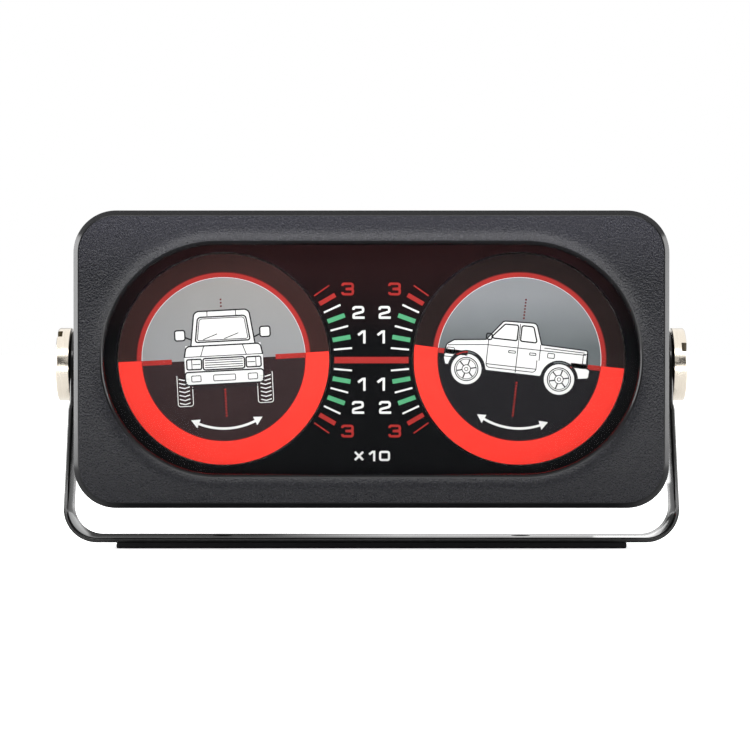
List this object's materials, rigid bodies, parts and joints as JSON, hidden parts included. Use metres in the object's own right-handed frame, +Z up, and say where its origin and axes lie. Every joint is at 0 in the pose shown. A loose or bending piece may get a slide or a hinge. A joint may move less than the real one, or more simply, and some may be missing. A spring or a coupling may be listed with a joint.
{
  "type": "inclinometer",
  "caption": "Twin-dial vehicle inclinometer: gravity-set roll and pitch dials behind a stadium window, in a case that tilts on a U bracket with coin-slot knobs.",
  "frame": {"origin": "centre of the adhesive pad's underside, which rests on the dashboard", "axes": "+X to the reader's right along the pivot, -Y out of the window towards the reader, +Z up"},
  "size_m": [0.1516, 0.0394, 0.0802],
  "materials": {
    "bracket_steel": "gloss black coating on steel strap",
    "pad_foam": "matte closed-cell foam",
    "case_plastic": "fine-grained matte black moulding",
    "screw_steel": "zinc-plated",
    "soft_rubber": "matte",
    "clear_lens": "clear polished acrylic",
    "scale_black": "satin near-black printed sheet",
    "light_guide_clear": "clear acrylic, frosted back",
    "frame_plastic": "pale moulded plastic",
    "bush_brass": "machined",
    "dial_card": "printed disc",
    "hub_plastic": "moulded",
    "spindle_steel": "ground",
    "weight_brass": "stamped",
    "gear_plastic": "moulded acetal",
    "board_green": "solder mask",
    "lamp_yellow": "moulded lamp package",
    "socket_white": "moulded",
    "washer_nylon": "black nylon",
    "spring_steel": "blued",
    "knob_nickel": "warm bright nickel plate"
  },
  "bodies": {
    "bracket": {"mounting_bracket": "bracket_steel", "adhesive_pad": "pad_foam"},
    "case": {"front_bezel": "case_plastic", "rear_housing": "case_plastic", "case_screws": "screw_steel", "cable_grommet": "soft_rubber", "lens": "clear_lens", "lens_gasket": "soft_rubber", "scale_plate": "scale_black", "light_guide": "light_guide_clear", "movement_frame": "frame_plastic", "roll_front_bush": "bush_brass", "roll_rear_bush": "bush_brass", "pendulum_inner_bush": "bush_brass", "pendulum_outer_bush": "bush_brass", "rear_bridge": "frame_plastic", "bridge_screws": "screw_steel", "backlight_board": "board_green", "backlight_lamps": "lamp_yellow", "wire_socket": "socket_white", "board_screws": "screw_steel", "left_insert": "bush_brass", "right_insert": "bush_brass", "left_friction_washer": "washer_nylon", "right_friction_washer": "washer_nylon", "pitch_dial_bush": "bush_brass"},
    "roll_card": {"roll_dial": "dial_card", "roll_hub": "hub_plastic", "roll_spindle": "spindle_steel", "roll_weight": "weight_brass"},
    "pitch_card": {"pitch_dial": "dial_card", "pitch_hub": "hub_plastic", "pitch_spindle": "spindle_steel", "pitch_gear": "gear_plastic"},
    "pendulum": {"pendulum_spindle": "spindle_steel", "pendulum_gear": "gear_plastic", "pendulum_weight": "weight_brass"},
    "left_washer_carrier": {"left_spring_washer": "spring_steel"},
    "left_knob_body": {"left_knob": "knob_nickel"},
    "right_washer_carrier": {"right_spring_washer": "spring_steel"},
    "right_knob_body": {"right_knob": "knob_nickel"}
  },
  "joints": [
    {"name": "case_tilt", "type": "hinge", "parent": "bracket", "child": "case", "pos_m": [0, 0, 0.0439], "axis": [1, 0, 0], "range_deg": [-180, 180]},
    {"name": "roll_dial_turn", "type": "hinge", "parent": "case", "child": "roll_card", "pos_m": [-0.035, 0, 0.0452], "axis": [0, 1, 0], "continuous": true},
    {"name": "pitch_pendulum_swing", "type": "hinge", "parent": "case", "child": "pendulum", "pos_m": [0.035, 0.0049, 0.0452], "axis": [1, 0, 0], "continuous": true},
    {"name": "pitch_dial_turn", "type": "hinge", "parent": "case", "child": "pitch_card", "pos_m": [0.035, 0, 0.0452], "axis": [0, 1, 0], "continuous": true},
    {"name": "left_knob_travel", "type": "slide", "parent": "case", "child": "left_washer_carrier", "axis": [-1, 0, 0], "range_m": [0, 0.00161]},
    {"name": "left_knob_turn", "type": "hinge", "parent": "left_washer_carrier", "child": "left_knob_body", "pos_m": [-0.0722, 0, 0.0439], "axis": [-1, 0, 0], "range_deg": [0, 720]},
    {"name": "right_knob_travel", "type": "slide", "parent": "case", "child": "right_washer_carrier", "axis": [1, 0, 0], "range_m": [0, 0.00161]},
    {"name": "right_knob_turn", "type": "hinge", "parent": "right_washer_carrier", "child": "right_knob_body", "pos_m": [0.0722, 0, 0.0439], "axis": [1, 0, 0], "range_deg": [0, 720]}
  ],
  "couplings": [
    {"joint": "pitch_dial_turn", "follows": "pitch_pendulum_swing", "ratio": -1},
    {"joint": "left_knob_travel", "follows": "left_knob_turn", "m_per_rad": 0.00012732},
    {"joint": "right_knob_travel", "follows": "right_knob_turn", "m_per_rad": 0.00012732}
  ]
}
